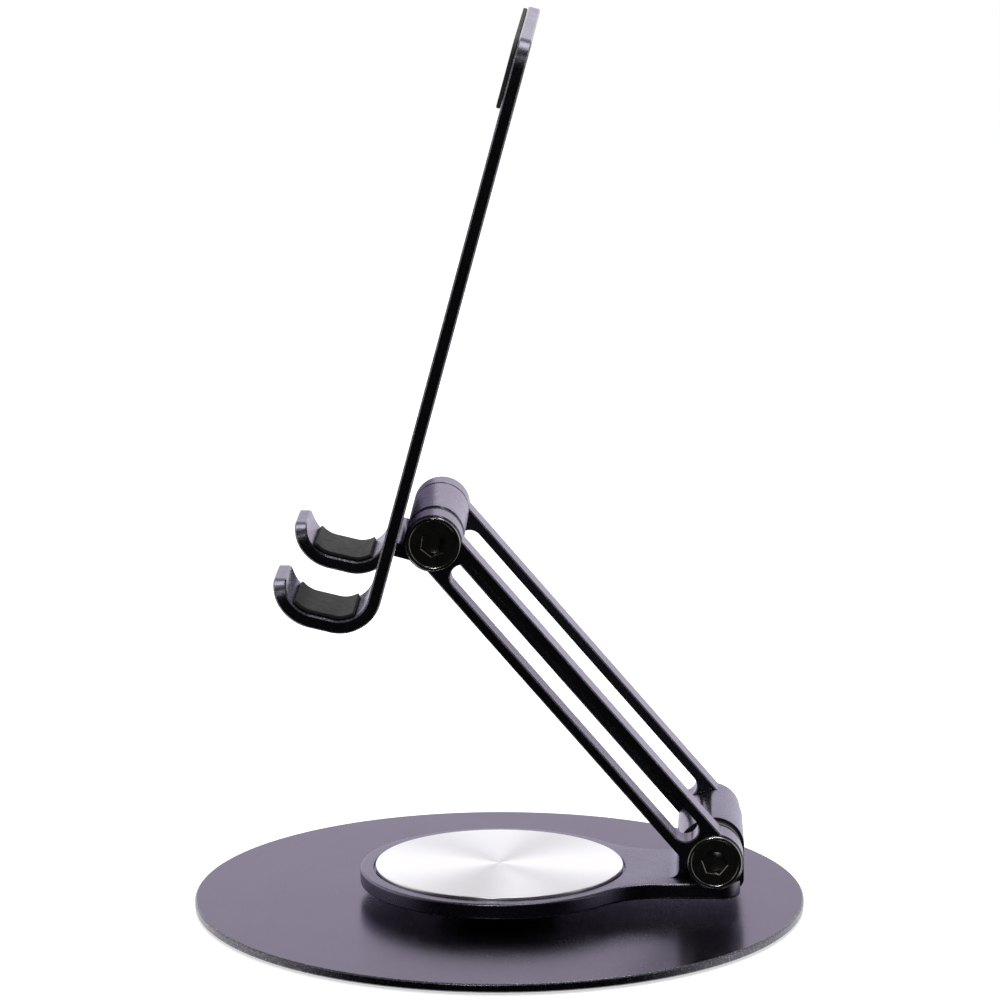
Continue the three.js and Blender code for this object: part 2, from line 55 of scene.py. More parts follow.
ON_AXIS = 1e-6  # millimetres: a point nearer the axis than this is on it
SAME = 1e-4  # millimetres: points nearer than this are one point
SHARP = 0.001  # millimetres: the chamfer of a cutting tool
SPARE = 1.0  # millimetres: how far a cutting tool starts outside what it cuts


# ---- where things are -------------------------------------------------------------------


def joint(name):
    return next(j for j in frame["joints"] if j["name"] == name)


def mm(point):
    return Vector(point) / MM


def heights(node):
    """Where a node starts and ends in Z."""
    return [mm(corner).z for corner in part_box(node)]


def centre_of(node):
    low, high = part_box(node)
    return mm((low + high) / 2)


LOWER = mm(joint("arm_fold")["pos_m"])
UPPER = mm(joint("head_tilt")["pos_m"])
REACH = UPPER - LOWER
ARM_L = REACH.length
LEAN = math.radians(15.1)  # of the holder's plate, back from upright
ARM_FRAME = Matrix.Translation(LOWER) @ Matrix.Rotation(
    math.atan2(REACH.x, REACH.z), 4, "Y"
)
HINGE_FRAMES = {"lower": ARM_FRAME, "upper": ARM_FRAME @ Matrix.Translation((0, 0, ARM_L))}
HOLDER_FRAME = Matrix.Translation(UPPER) @ Matrix.Rotation(LEAN, 4, "Y")
SIDEWAYS = Matrix(((1, 0, 0, 0), (0, 0, 1, 0), (0, 1, 0, 0), (0, 0, 0, 1)))
Z_TO_X = Matrix.Rotation(PI / 2, 4, "Y")


# ---- outlines ---------------------------------------------------------------------------


def arc(cx, cy, radius, start, end, steps):
    turns = [start + (end - start) * i / steps for i in range(steps + 1)]
    return [(cx + radius * math.cos(t), cy + radius * math.sin(t)) for t in turns]


def circle(radius, steps, cx=0.0, cy=0.0, hole=False):
    sweep = -2 * PI if hole else 2 * PI
    return arc(cx, cy, radius, 0, sweep, steps)[:-1]


def hexagon(flats, turn=0.0):
    corner = flats / math.sqrt(3)
    return [
        (corner * math.cos(turn + k * PI / 3), corner * math.sin(turn + k * PI / 3))
        for k in range(6)
    ]


def tidy(loop):
    """The outline without points that repeat."""
    kept = []
    for p in loop:
        if not kept or math.dist(p, kept[-1]) > SAME:
            kept.append(p)
    if math.dist(kept[0], kept[-1]) <= SAME:
        kept.pop()
    return kept


def inset(loop, by):
    """The outline shifted to its left, which is inwards for a counter-clockwise one."""
    least = 0.2  # keeps the shift short where the outline nearly turns back
    out = []
    for i, (x, y) in enumerate(loop):
        before = Vector((x, y)) - Vector(loop[i - 1])
        after = Vector(loop[(i + 1) % len(loop)]) - Vector((x, y))
        a = Vector((-before.y, before.x)).normalized()
        b = Vector((-after.y, after.x)).normalized()
        shift = (a + b) / max(least, 1 + a.dot(b)) * by
        out.append((x + shift.x, y + shift.y))
    return out


def rounded(points, radius, steps=3):
    """An open line with each inner corner rounded."""
    most = 0.45  # share of a side that one rounding may take
    out = [points[0]]
    for a, b, c in zip(points, points[1:], points[2:]):
        a, b, c = Vector(a), Vector(b), Vector(c)
        reach = min(radius, (a - b).length * most, (c - b).length * most)
        start = b + (a - b).normalized() * reach
        end = b + (c - b).normalized() * reach
        for i in range(steps + 1):
            t = i / steps
            p = start * (1 - t) ** 2 + b * (2 * t * (1 - t)) + end * t**2
            out.append((p.x, p.y))
    out.append(points[-1])
    return out


# ---- solids -----------------------------------------------------------------------------

RIM = 1  # index of the second material, which machined edges take


def turned(profile, segments=96):
    """A solid turned on Z. The profile's points are (radius, height); it runs from axis to
    axis, or is closed on itself."""
    bm = bmesh.new()
    rings = []
    for r, z in profile:
        count = 1 if r < ON_AXIS else segments
        turns = [2 * PI * k / count for k in range(count)]
        rings.append([bm.verts.new((r * math.cos(t), r * math.sin(t), z)) for t in turns])
    pairs = list(zip(rings, rings[1:]))
    if len(rings[0]) > 1:
        pairs.append((rings[-1], rings[0]))
    for a, b in pairs:
        for k in range(segments):
            corners = [
                a[k % len(a)],
                a[(k + 1) % len(a)],
                b[(k + 1) % len(b)],
                b[k % len(b)],
            ]
            face = list(dict.fromkeys(corners))
            if len(face) > 2:
                bm.faces.new(face)
    bmesh.ops.recalc_face_normals(bm, faces=bm.faces)
    return bm


def plug(radius, low, high):
    """A cylinder on Z, to cut a bore with."""
    return turned([(0, low), (radius, low), (radius, high), (0, high)], 64)


def sunk_hole(low, high, shank, head, straight, cone, segments):
    """A tool on Z for a countersunk hole through a sheet from low to high: as wide as the
    head as far in as straight, then tapered to the shank's width at cone."""
    start, end = low - SPARE, high + SPARE
    line = [(0, start), (head, start), (head, low + straight), (shank, low + cone),
            (shank, end), (0, end)]
    return turned(line, segments)


def slab(loops, low, high, edge, steps=1, rim=False):
    """A flat solid from low to high in Z inside counter-clockwise and round clockwise
    outlines, its edges chamfered, or rounded in more steps. With rim, the faces along the
    edges take the second material."""
    bm = bmesh.new()
    loops = [tidy(loop) for loop in loops]
    turns = [i / steps * PI / 2 for i in range(steps + 1)]
    section = [(edge * (1 - math.sin(t)), low + edge * (1 - math.cos(t))) for t in turns]
    section += [(edge * (1 - math.cos(t)), high - edge * (1 - math.sin(t))) for t in turns]
    rows = [
        [[bm.verts.new((x, y, z)) for x, y in inset(loop, e)] for loop in loops]
        for e, z in section
    ]
    for i, (below, above) in enumerate(zip(rows, rows[1:])):
        for a, b in zip(below, above):
            for k in range(len(a)):
                n = (k + 1) % len(a)
                face = bm.faces.new((a[k], a[n], b[n], b[k]))
                face.material_index = RIM if rim and i != steps else 0
    for row, flip in ((rows[0], True), (rows[-1], False)):
        flat = [v for loop in row for v in loop]
        for t in tessellate_polygon([[v.co for v in loop] for loop in row]):
            try:
                bm.faces.new([flat[k] for k in (reversed(t) if flip else t)])
            except ValueError:  # the triangle is there already
                pass
    bmesh.ops.recalc_face_normals(bm, faces=bm.faces)
    return bm


def sideways(bm):
    """Turns a solid made along Z to lie along Y."""
    bm.transform(SIDEWAYS)
    bmesh.ops.reverse_faces(bm, faces=bm.faces)
    return bm


def moved(bm, x=0.0, y=0.0, z=0.0):
    bm.transform(Matrix.Translation((x, y, z)))
    return bm


def as_object(bm, name="tool"):
    mesh = bpy.data.meshes.new(name)
    bm.to_mesh(mesh)
    bm.free()
    obj = bpy.data.objects.new(name, mesh)
    bpy.context.scene.collection.objects.link(obj)
    return obj


def discard(obj):
    mesh = obj.data
    bpy.data.objects.remove(obj)
    bpy.data.meshes.remove(mesh)


def combined(bm, tool, operation="DIFFERENCE"):
    """The solid with another cut from it or joined to it."""
    body, other = as_object(bm, "body"), as_object(tool)
    modifier = body.modifiers.new("combine", "BOOLEAN")
    modifier.operation = operation
    modifier.solver = "EXACT"
    modifier.object = other
    graph = bpy.context.evaluated_depsgraph_get()
    mesh = bpy.data.meshes.new_from_object(body.evaluated_get(graph))
    result = bmesh.new()
    result.from_mesh(mesh)
    bpy.data.meshes.remove(mesh)
    discard(body)
    discard(other)
    bmesh.ops.remove_doubles(result, verts=result.verts, dist=SAME)
    bmesh.ops.dissolve_degenerate(result, edges=result.edges, dist=SAME)
    return result


# ---- materials --------------------------------------------------------------------------

MAP_SOCKETS = ("From Min", "From Max", "To Min", "To Max")
COLOR_A, COLOR_B, COLOR_OUT = 6, 7, 2  # the colour sockets of a Mix node
MOST = (0.3, 0.7)  # most of a noise texture's values are between these


def scaled(color, by):
    return tuple(c * by for c in color)


class Material:
    """A Principled material whose nodes are added a few at a time."""

    def __init__(self, name, color, roughness, **fixed):
        self.data = bpy.data.materials.new(name)
        self.data.use_nodes = True
        self.tree = self.data.node_tree
        self.shader = self.tree.nodes["Principled BSDF"]
        self.set("Base Color", (*color, 1))
        self.set("Roughness", roughness)
        for socket, value in fixed.items():
            self.set(socket.replace("_", " "), value)
        self.where = self.tree.nodes.new("ShaderNodeTexCoord").outputs["Object"]
        self.normal = None

    def set(self, socket, value):
        self.shader.inputs[socket].default_value = value

    def node(self, kind, settings=None, **inputs):
        node = self.tree.nodes.new("ShaderNode" + kind)
        for key, value in (settings or {}).items():
            setattr(node, key, value)
        for key, value in inputs.items():
            self.put(node.inputs[key.replace("_", " ")], value)
        return node

    def put(self, socket, value):
        if isinstance(value, bpy.types.NodeSocket):
            self.tree.links.new(value, socket)
        else:
            socket.default_value = value

    def noise(self, size, detail=2.0, where=None, rough=0.5):
        """Noise from 0 to 1 whose features are about size millimetres."""
        return self.node(
            "TexNoise",
            Vector=where or self.where,
            Scale=1 / (size * MM),
            Detail=detail,
            Roughness=rough,
        ).outputs["Fac"]

    def remap(self, value, *span):
        """The value with from low, from high mapped to to low, to high."""
        node = self.node("MapRange", {"clamp": True}, Value=value)
        for key, number in zip(MAP_SOCKETS, span):
            node.inputs[key].default_value = number
        return node.outputs["Result"]

    def math(self, operation, a, b=0.0):
        node = self.node("Math", {"operation": operation})
        self.put(node.inputs[0], a)
        self.put(node.inputs[1], b)
        return node.outputs[0]

    def mix(self, share, a, b):
        node = self.node("Mix", {"data_type": "RGBA"})
        self.put(node.inputs["Factor"], share)
        for index, color in ((COLOR_A, a), (COLOR_B, b)):
            linked = isinstance(color, bpy.types.NodeSocket)
            self.put(node.inputs[index], color if linked else (*color, 1))
        return node.outputs[COLOR_OUT]

    def bump(self, height, depth):
        """Relief of depth millimetres over any relief that is there."""
        node = self.node("Bump", Height=height, Strength=1.0, Distance=depth * MM)
        if self.normal is not None:
            self.put(node.inputs["Normal"], self.normal)
        self.normal = node.outputs["Normal"]
        self.put(self.shader.inputs["Normal"], self.normal)

    def link(self, socket, value):
        self.put(self.shader.inputs[socket], value)


def anodised():
    """Blasted and black anodised aluminium: a fine grain with a few brighter specks."""
    base, rough, grain = (0.125, 0.119, 0.145), 0.27, 0.012
    m = Material("anodised", base, rough, Metallic=1.0, Specular_Tint=(0.9, 0.85, 1.0, 1))
    fine, coarse, cloud = m.noise(0.16, 3), m.noise(0.5, 2), m.noise(22, 3)
    tone = m.mix(m.remap(cloud, *MOST, 0, 1), scaled(base, 0.93), scaled(base, 1.08))
    speck = m.remap(fine, 0.66, 0.74, 0, 0.35)
    m.link("Base Color", m.mix(speck, tone, scaled(base, 2.2)))
    worn = m.remap(m.noise(9, 4, rough=0.6), 0.35, 0.7, -0.02, 0.025)
    blasted = m.remap(coarse, *MOST, rough - 0.05, rough + 0.05)
    m.link("Roughness", m.math("ADD", blasted, worn))
    m.bump(coarse, grain)
    m.bump(fine, grain * 0.6)
    return m.data


def anodised_edge():
    """The machined chamfers, smoother and worn to bare metal in small dots."""
    base, bare = (0.1, 0.097, 0.115), (0.6, 0.6, 0.64)
    m = Material("anodised_edge", base, 0.24, Metallic=1.0)
    dots = m.remap(m.noise(0.3, 3, rough=0.6), 0.55, 0.66, 0, 0.5)
    m.link("Base Color", m.mix(dots, base, bare))
    m.link("Roughness", m.remap(m.noise(1.2, 3), *MOST, 0.18, 0.32))
    m.bump(m.noise(0.3, 3), 0.01)
    return m.data


def powder_coat():
    """The base's satin finish: a fine skin with slight smears."""
    base = (0.085, 0.08, 0.097)
    m = Material("powder_coat", base, 0.3, Metallic=1.0, Specular_Tint=(0.88, 0.83, 0.97, 1))
    fine, cloud = m.noise(0.28, 3), m.noise(30, 3)
    tone = m.mix(m.remap(cloud, *MOST, 0, 1), scaled(base, 0.95), scaled(base, 1.06))
    speck = m.remap(fine, 0.64, 0.75, 0, 0.3)
    m.link("Base Color", m.mix(speck, tone, scaled(base, 2.2)))
    smear = m.remap(m.noise(14, 5, rough=0.6), 0.35, 0.7, -0.012, 0.018)
    m.link("Roughness", m.math("ADD", m.remap(fine, *MOST, 0.2, 0.27), smear))
    m.bump(m.noise(0.45, 2), 0.008)
    m.bump(fine, 0.006)
    return m.data


def spun_aluminium():
    """Face turned in fine circles: the sheen fans out from the middle."""
    dull, bright = (0.75, 0.745, 0.77), (0.86, 0.855, 0.88)
    m = Material(
        "spun_aluminium", (0.8, 0.795, 0.82), 0.3, Metallic=1.0,
        Anisotropic=0.85, Anisotropic_Rotation=0.25,
    )
    tangent = m.node("Tangent", {"direction_type": "RADIAL", "axis": "Z"}).outputs[0]
    m.link("Tangent", tangent)
    flat = m.node("SeparateXYZ", Vector=m.where)
    across, along = (m.math("POWER", flat.outputs[axis], 2.0) for axis in "XY")
    radius = m.math("SQRT", m.math("ADD", across, along))
    rings = m.node("CombineXYZ", X=radius)
    lines = m.noise(0.12, 4, where=rings.outputs[0])
    broad = m.noise(1.6, 3, where=rings.outputs[0])
    m.link("Base Color", m.mix(m.remap(lines, *MOST, 0, 1), dull, bright))
    m.link("Roughness", m.remap(m.math("ADD", lines, broad), 0.6, 1.4, 0.27, 0.34))
    m.bump(lines, 0.0016)
    return m.data


def black_nickel():
    base = (0.3, 0.29, 0.27)
    m = Material("black_nickel", base, 0.16, Metallic=1.0)
    patches = m.remap(m.noise(2.5, 4), 0.35, 0.65, 0, 1)
    m.link("Base Color", m.mix(patches, scaled(base, 0.8), base))
    m.link("Roughness", m.remap(m.noise(0.7, 4, rough=0.6), *MOST, 0.12, 0.24))
    m.bump(m.noise(0.35, 3), 0.003)
    return m.data


def zinc_steel():
    dull, bright = (0.4, 0.41, 0.43), (0.58, 0.58, 0.57)
    m = Material("zinc_steel", (0.5, 0.5, 0.52), 0.35, Metallic=1.0)
    m.link("Base Color", m.mix(m.remap(m.noise(1.5, 4), *MOST, 0, 1), dull, bright))
    m.link("Roughness", m.remap(m.noise(0.6, 3), *MOST, 0.28, 0.45))
    m.bump(m.noise(0.2, 3), 0.004)
    return m.data


def spring_steel():
    dull, bright = (0.08, 0.08, 0.095), (0.17, 0.165, 0.16)
    m = Material("spring_steel", (0.12, 0.12, 0.13), 0.4, Metallic=1.0)
    m.link("Base Color", m.mix(m.remap(m.noise(1.2, 4), *MOST, 0, 1), dull, bright))
    m.link("Roughness", m.remap(m.noise(0.5, 3), *MOST, 0.32, 0.5))
    m.bump(m.noise(0.18, 3), 0.005)
    return m.data


def moulded(name, base, rough, grain, size):
    """Matte moulded plastic or rubber with a fine skin and a little dust."""
    m = Material(name, base, rough, Specular_IOR_Level=0.4)
    cloud = m.remap(m.noise(6, 4), *MOST, 0, 1)
    tone = m.mix(cloud, scaled(base, 0.85), scaled(base, 1.2))
    dust = m.remap(m.noise(0.3, 2), 0.7, 0.76, 0, 0.25)
    m.link("Base Color", m.mix(dust, tone, scaled(base, 5)))
    m.link("Roughness", m.remap(m.noise(1.5, 3), *MOST, rough - 0.07, rough + 0.07))
    m.bump(m.noise(size, 3), grain)
    return m.data


MATERIALS = {
    "anodised": anodised(),
    "powder_coat": powder_coat(),
    "spun_aluminium": spun_aluminium(),
    "black_nickel": black_nickel(),
    "zinc_steel": zinc_steel(),
    "spring_steel": spring_steel(),
    "acetal": moulded("acetal", (0.018, 0.018, 0.02), rough=0.5, grain=0.004, size=0.3),
    "silicone": moulded("silicone", (0.012, 0.012, 0.012), rough=0.72, grain=0.008, size=0.25),
    "tape": moulded("tape", (0.03, 0.03, 0.03), rough=0.85, grain=0.02, size=0.4),
}
EDGE = anodised_edge()


# ---- making pieces ----------------------------------------------------------------------

SHARP_ANGLE = 38  # degrees: edges that turn more than this stay crisp


def add_weighted_normals(obj):
    weighted = obj.modifiers.new("weighted normals", "WEIGHTED_NORMAL")
    weighted.weight = 100
    return weighted


def piece(name, bm, body, nodes, slot, place=None, sharp=SHARP_ANGLE):
    """Adds a solid as a piece that stands for these CAD nodes and rides on their body."""
    bm.transform(Matrix.Scale(MM, 4) @ (place or Matrix.Identity(4)))
    bmesh.ops.recalc_face_normals(bm, faces=bm.faces)
    obj = as_object(bm, name)
    obj.data.materials.append(MATERIALS[slot])
    obj.data.materials.append(EDGE)
    obj.data.shade_smooth()
    obj.data.set_sharp_from_angle(angle=math.radians(sharp))
    add_weighted_normals(obj).keep_sharp = True
    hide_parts(*nodes)
    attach(obj, body)
    return obj


def small_screw(shank, head, length, flats, depth):
    """Countersunk screw on Z, its head's face down at 0 and its tip at length."""
    brim, tip, softness = 0.12, 0.3, 0.08
    cone = head - shank
    line = [(0, 0), (head, 0), (head, brim), (shank, cone), (shank, length - tip),
            (shank - tip, length), (0, length)]
    body = turned(rounded(line, softness), 40)
    return combined(body, slab([hexagon(flats)], -SPARE, depth, SHARP))


# ---- base -------------------------------------------------------------------------------

DISC_LOW, DISC_TOP = heights("base_disc")
BASE_R = mm(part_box("base_disc")[1]).x
PAD_R = mm(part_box("base_pad")[1]).x
FLANGE_SCREWS = [f"flange_screw_{i}" for i in (1, 2, 3)]


def make_disc():
    hole, chamfer, softness = 3.0, 0.35, 0.1
    machined = 0.6  # width of the bright band round the edge
    middle, seam = (DISC_LOW + DISC_TOP) / 2, 0.01
    line = [
        (hole, middle),
        (hole, DISC_LOW),
        (BASE_R - chamfer, DISC_LOW),
        (BASE_R, DISC_LOW + chamfer),
        (BASE_R, DISC_TOP - chamfer),
        (BASE_R - chamfer, DISC_TOP),
        (hole, DISC_TOP),
        (hole, middle + seam),
    ]
    disc = turned(rounded(line, softness), 288)
    for name in FLANGE_SCREWS:
        at = centre_of(name)
        tool = sunk_hole(
            DISC_LOW, DISC_TOP, shank=1.33, head=2.5, straight=0.15, cone=1.3, segments=40
        )
        disc = combined(disc, moved(tool, at.x, at.y))
    plate = piece("base_plate", disc, "base", ["base_disc"], "powder_coat")
    for face in plate.data.polygons:
        if face.center.xy.length > (BASE_R - machined) * MM:
            face.material_index = RIM


def make_base_pad():
    """The anti-slip ring under the base, with shallow moulded grooves."""
    low, high = 0.0, mm(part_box("base_pad")[1]).z
    inner, inner_edge, outer_edge = 17.0, 0.12, 0.15
    grooves, depth, mouth, floor = 6, 0.2, 0.5, 0.3
    line = [(inner, high), (inner, low + inner_edge), (inner + inner_edge, low)]
    for i in range(1, grooves + 1):
        r = inner + (PAD_R - inner) * i / (grooves + 1)
        line += [(r - mouth, low), (r - floor, low + depth), (r + floor, low + depth),
                 (r + mouth, low)]
    line += [(PAD_R - outer_edge, low), (PAD_R, low + outer_edge), (PAD_R, high)]
    pad = piece("base_ring_pad", turned(line, 192), "base", ["base_pad"], "silicone")


def make_base():
    make_disc()
    make_base_pad()
    for name in FLANGE_SCREWS:
        at = centre_of(name)
        low, high = heights(name)
        screw = small_screw(shank=1.25, head=2.4, length=high - low, flats=1.5, depth=0.8)
        screw = moved(screw, at.x, at.y, low)
        piece(name + "_head", screw, "base", [name], "zinc_steel")


# ---- hub --------------------------------------------------------------------------------

HUB_Z = mm(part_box("hub_bracket")[0]).z
HUB_R = -mm(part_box("hub_bracket")[0]).x
HUB_T = 3.6
HUB_TOP = HUB_Z + HUB_T
NECK_END = 55.2
NECK_HALF_W = 14.6
NECK_FILLET = 18.0
NECK_CORNER = 5.0
EYE_R = 6.5
LOWER_KNUCKLE_R = 6.9
BUSH_BORE = 4.75
KNUCKLE_FAR = 14.5
KNUCKLE_NEAR = {"lower": -9.5, "upper": -12.0}


def hub_plan():
    reach = HUB_R + NECK_FILLET
    y = NECK_HALF_W + NECK_FILLET
    x = math.sqrt(reach * reach - y * y)
    turn = math.atan2(y, x)
    corner = NECK_CORNER
    loop = arc(0, 0, HUB_R, turn, 2 * PI - turn, 150)
    loop += arc(x, -y, NECK_FILLET, PI - turn, PI / 2, 24)
    loop += arc(NECK_END - corner, corner - NECK_HALF_W, corner, -PI / 2, 0, 12)
    loop += arc(NECK_END - corner, NECK_HALF_W - corner, corner, 0, PI / 2, 12)
    loop += arc(x, y, NECK_FILLET, -PI / 2, turn - PI, 24)
    return loop


def knuckle_side():
    """Side of the lower knuckle: round over the hinge, hollow at its foot."""
    x, z = LOWER.x, LOWER.z
    left, left_r, foot, heel = x - 8.0, 6.5, 2.2, 3.0
    drop, slope = 0.35, 0.1  # how the crown falls away to the left
    low, right = HUB_Z + 0.6, x + LOWER_KNUCKLE_R
    loop = [(left - foot, low)]
    loop += arc(right - heel, low + heel, heel, -PI / 2, 0, 10)
    loop += arc(x, z, LOWER_KNUCKLE_R, 0, PI / 2 + slope, 24)
    loop += arc(left + left_r, z - drop, left_r, PI / 2 + slope, PI, 20)
    loop += arc(left - foot, HUB_TOP + foot, foot, 0, -PI / 2, 10)
    return loop


def make_bracket():
    cap_low = mm(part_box("spun_cap")[0]).z
    bed, edge = cap_low - 0.25, 0.15
    recess_r = mm(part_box("spun_cap")[1]).x + 0.5
    nut_r, nut_floor, journal_r = 13, 6.9, 5.1
    above, beside = 11, 40  # clear of the hub's top and of its sides

    bracket = slab([hub_plan()], HUB_Z, HUB_TOP, edge=0.55, steps=3)
    bore = circle(BUSH_BORE, 64, LOWER.x, LOWER.z, hole=True)
    near, far = KNUCKLE_NEAR["lower"], KNUCKLE_FAR
    knuckle = slab([knuckle_side(), bore], near, far, edge=0.3, steps=2)
    bracket = combined(bracket, sideways(knuckle), "UNION")
    recess = turned(
        [(0, bed), (recess_r, bed), (recess_r, HUB_TOP - edge), (recess_r + edge, HUB_TOP),
         (recess_r + edge, HUB_TOP + SPARE), (0, HUB_TOP + SPARE)],
        192,
    )
    tunnel = moved(sideways(plug(BUSH_BORE, -beside, beside)), LOWER.x, 0, LOWER.z)
    for tool in (recess, plug(nut_r, nut_floor, above), plug(journal_r, 0, above), tunnel):
        bracket = combined(bracket, tool)
    piece("hub_body", bracket, "hub", ["hub_bracket"], "anodised")


def make_cap():
    low, high = heights("spun_cap")
    radius = mm(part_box("spun_cap")[1]).x
    underside, face, softness = radius - 0.4, radius - 2, 0.28
    dimple = [(0.5, high), (0.25, high - 0.05), (0, high - 0.09)]
    line = [(underside, low), (radius, low), (radius, high), (face, high)]
    profile = [(0, low)] + rounded(line, softness, 5)
    profile += [(r, high) for r in (18, 9, 3)] + dimple
    piece("cap_face", turned(profile, 256), "hub", ["spun_cap"], "spun_aluminium", sharp=50)


# ---- hinges -----------------------------------------------------------------------------

ARM_OUT, ARM_IN = 22.5, 15.0
HEAD_GAP = 0.05
SHANK_R, SHANK_END, THREAD_END = 3.9, 19.0, 22.6
HEAD_R, HEAD_T, HEX_AF = 6.12, 0.8, 5.0
WASHER_R, WASHER_BORE = 6.2, 4.1
HINGE_SOFTNESS = 0.12


def make_bolt(hinge, hex_turn):
    """Thin head with a dished face inside a rounded rim, and a hex socket with a lead-in."""
    face = -ARM_OUT - HEAD_GAP - HEAD_T
    dish, bead, flare, socket, point = 0.35, 0.5, 0.16, 2.2, 3.4
    thread_r, middle_r = SHANK_R - 0.8, 1
    floor = face + dish
    low = math.acos(1 - dish / bead)
    rim = arc(HEAD_R - bead, face + bead, bead, -PI / 2 - low, 0, 16)
    apart = 0.02  # keeps the next point off the rim's last one
    rest = [
        (HEAD_R, face + bead + apart),
        (HEAD_R, face + HEAD_T),
        (SHANK_R, face + HEAD_T),
        (SHANK_R, SHANK_END),
        (thread_r, SHANK_END),
        (thread_r, THREAD_END),
        (middle_r, THREAD_END),
    ]
    line = [(0, floor), (middle_r, floor)] + rim + rounded(rest, HINGE_SOFTNESS)
    body = turned(line + [(0, THREAD_END)], 128)

    drill_r, flat, deep = HEX_AF / 2 - 0.05, floor + socket + 0.1, floor + socket - 0.2
    tools = [
        slab([hexagon(HEX_AF, hex_turn)], floor - SPARE, floor + socket, SHARP),
        slab([hexagon(HEX_AF + 2 * flare, hex_turn)], floor - SPARE, floor + flare, flare),
        turned([(0, deep), (drill_r, deep), (drill_r, flat), (0, floor + point)], 64),
    ]
    for tool in tools:
        body = combined(body, tool)
    node = f"{hinge}_hinge_bolt"
    piece(f"{hinge}_screw", sideways(body), "arm", [node], "black_nickel", HINGE_FRAMES[hinge])


def make_nut(hinge):
    inner = ARM_OUT + HEAD_GAP
    outer = mm(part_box(f"{hinge}_hinge_nut")[1]).y
    thread, flange = SHANK_R - 0.75, 5.95
    lead, chamfer = 0.3, 0.35
    start, middle, seam = SHANK_END + 0.1, 20.5, 0.1
    line = [
        (thread, middle),
        (thread, start),
        (SHANK_R, start),
        (SHANK_R, inner),
        (flange, inner),
        (flange, outer - chamfer),
        (flange - chamfer, outer),
        (thread + lead, outer),
        (thread, outer - lead),
        (thread, middle + seam),
    ]
    body = turned(rounded(line, HINGE_SOFTNESS), 96)
    node = f"{hinge}_hinge_nut"
    piece(f"{hinge}_nut", sideways(body), "arm", [node], "black_nickel", HINGE_FRAMES[hinge])


def make_washer(node, slot, dished=0):
    """A flat washer, or a disc spring whose bore stands towards +Y or -Y."""
    low, high = (mm(corner).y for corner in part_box(node))
    thickness = 0.55 if dished else high - low
    near, far = (low, low + thickness), (high - thickness, high)
    inner, outer = (far, near) if dished > 0 else (near, far)
    line = [(WASHER_BORE, inner[0]), (WASHER_R, outer[0]), (WASHER_R, outer[1]),
            (WASHER_BORE, inner[1])]
    middle = tuple((a + b) / 2 for a, b in zip(line[-1], line[0]))
    profile = rounded([middle, *line, middle], 0.1)[:-1]
    hinge = node.split("_")[0]
    ring = sideways(turned(profile, 96))
    piece(node.replace(hinge, f"{hinge}_hinge"), ring, "arm", [node], slot, HINGE_FRAMES[hinge])


def make_hinges():
    make_bolt("lower", hex_turn=0.17)
    make_bolt("upper", hex_turn=0.71)
    for hinge, springs in (("lower", 3), ("upper", 1)):
        make_nut(hinge)
        make_washer(f"{hinge}_pressure_washer", "zinc_steel")
        make_washer(f"{hinge}_friction_washer", "acetal")
        make_washer(f"{hinge}_far_washer", "acetal")
        for i in range(springs):
            facing = -1 if i % 2 else 1  # each is turned round from the one before
            make_washer(f"{hinge}_disc_spring_{i + 1}", "spring_steel", facing)


# ---- arm --------------------------------------------------------------------------------

BAR_HALF_W, SLOT_HALF_W, SLOT_END = 5.2, 2.9, 10.1
BOLT_HOLE_R = 4.0


def make_arm():
    turn = math.acos(BAR_HALF_W / EYE_R)
    outline = arc(0, 0, EYE_R, PI - turn, 2 * PI + turn, 56)
    outline += arc(0, ARM_L, EYE_R, -turn, PI + turn, 56)
    slot = arc(0, SLOT_END, SLOT_HALF_W, PI, 2 * PI, 28)
    slot += arc(0, ARM_L - SLOT_END, SLOT_HALF_W, 0, PI, 28)
    loops = [outline, slot[::-1]]
    loops += [circle(BOLT_HOLE_R, 64, 0, z, hole=True) for z in (0.0, ARM_L)]
    for side, near, far in (("near", -ARM_OUT, -ARM_IN), ("far", ARM_IN, ARM_OUT)):
        bm = sideways(slab(loops, near, far, edge=0.3, rim=True))
        piece(f"{side}_arm", bm, "arm", [f"{side}_arm_plate"], "anodised", ARM_FRAME)


# ---- holder -----------------------------------------------------------------------------

PLATE_BACK, PLATE_T, PLATE_TOP = -7.83, 2.87, 115.0
PLATE_FRONT = PLATE_BACK - PLATE_T
PLATE_HALF_W, PLATE_CORNER_R = 41.8, 6.2
HOOK_W, LIP_CORNER_R = 22.5, 5.0
CUTOUT_TOP, CUTOUT_CORNER_R = -9.5, 4.0
BEND_R, BEND = 9.4, (-17.23, -11.65)
LIP_R, LIP = 10.15, (-22.05, -11.06)
LIP_SWEEP = PI / 2 - 0.24
TONGUE_LOW, TONGUE_HIGH = -6.85, -3.7
TONGUE_ROOT, NECK_BACK = PLATE_BACK + 0.05, -5.2
FOOT_HALF_W, FOOT_BACK, FOOT_SLOPE = 14.4, -4.0, (-6.6, -5.6)
PLATE_SCREW_Y = (-9.0, 1.25, 11.5)
PLATE_SCREW_Z = (TONGUE_LOW + TONGUE_HIGH) / 2

BEND_MIDDLE_R = BEND_R - PLATE_T / 2
LIP_MIDDLE_R = LIP_R - PLATE_T / 2
STRAIGHT = PLATE_TOP - BEND[1]
BEND_END = STRAIGHT + BEND_MIDDLE_R * PI / 2
FLOOR_END = BEND_END + BEND[0] - LIP[0]
SHEET_L = FLOOR_END + LIP_MIDDLE_R * LIP_SWEEP


